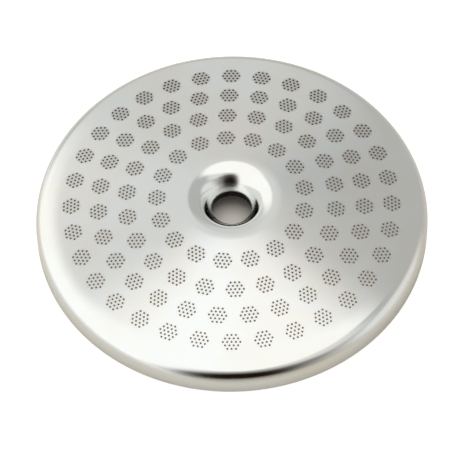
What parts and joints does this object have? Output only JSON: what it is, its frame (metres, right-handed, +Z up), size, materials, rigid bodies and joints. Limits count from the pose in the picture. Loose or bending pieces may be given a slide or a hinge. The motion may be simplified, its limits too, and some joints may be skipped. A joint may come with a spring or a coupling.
{
  "type": "espresso shower screen",
  "caption": "Round pressed-steel espresso shower screen: crowned face with rings of hexagonal hole clusters, a central screw well and a short skirt.",
  "frame": {"origin": "centre of the plane of the skirt's lower edge, on the axis of the screw hole", "axes": "+Z up the axis of the screw hole and out of the perforated face, -Y towards the front of the face as pictured, +X to its right"},
  "size_m": [0.057, 0.057, 0.007],
  "materials": {
    "steel": "satin"
  },
  "bodies": {
    "root": {"shower_screen": "steel"}
  },
  "joints": []
}
